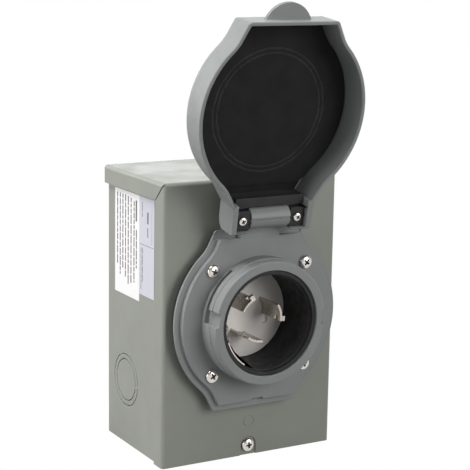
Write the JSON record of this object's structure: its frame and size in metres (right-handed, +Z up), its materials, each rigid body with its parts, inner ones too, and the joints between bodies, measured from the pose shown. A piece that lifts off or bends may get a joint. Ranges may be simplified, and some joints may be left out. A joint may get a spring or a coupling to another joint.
{
  "type": "generator inlet box",
  "caption": "Wall-mounted sheet-steel power inlet box with a round locking inlet, a screw-fixed front cover and a hinged weather lid that stands open.",
  "frame": {"origin": "centre of the four wall screw holes, on the outside of the box's back wall", "axes": "+X to the right seen from the front, +Y from the front cover into the wall, +Z up"},
  "size_m": [0.125, 0.1325, 0.2934],
  "materials": {
    "box_paint": "satin sage-grey powder coat",
    "flange_plastic": "satin moulded grey plastic",
    "black_nylon": "satin black nylon",
    "dark_plastic": "satin charcoal plastic",
    "face_plastic": "satin light-grey thermoset",
    "pad_rubber": "matte closed-cell foam rubber",
    "gasket_rubber": "matte black rubber",
    "nickel": "bright nickel plate",
    "aluminium": "extruded aluminium",
    "green_steel": "green dyed zinc plate",
    "brass": "machined brass",
    "white_label": null,
    "grey_label": null
  },
  "bodies": {
    "root": {"base_box": "box_paint", "front_cover": "box_paint", "cover_screw": "nickel", "ground_lug": "aluminium", "ground_screws": "green_steel", "rating_label": "white_label", "notice_label": "grey_label", "flange_gasket": "gasket_rubber", "inlet_flange": "flange_plastic", "inlet_barrel": "black_nylon", "contact_face": "face_plastic", "blade_x": "nickel", "blade_y": "nickel", "blade_w": "nickel", "ground_contact": "nickel", "rear_body": "black_nylon", "terminal_clamps": "brass", "terminal_screws": "nickel", "flange_screws": "nickel", "flange_nuts": "nickel"},
    "lid": {"lid_shell": "flange_plastic", "lid_pad": "pad_rubber", "pad_retainer": "dark_plastic", "hinge_block_left": "dark_plastic", "hinge_block_right": "dark_plastic", "hinge_block_screws": "nickel"}
  },
  "joints": [
    {"name": "lid_hinge", "type": "hinge", "parent": "root", "child": "lid", "pos_m": [0, -0.1024, 0.0707], "axis": [1, 0, 0], "range_deg": [0, 170]}
  ]
}
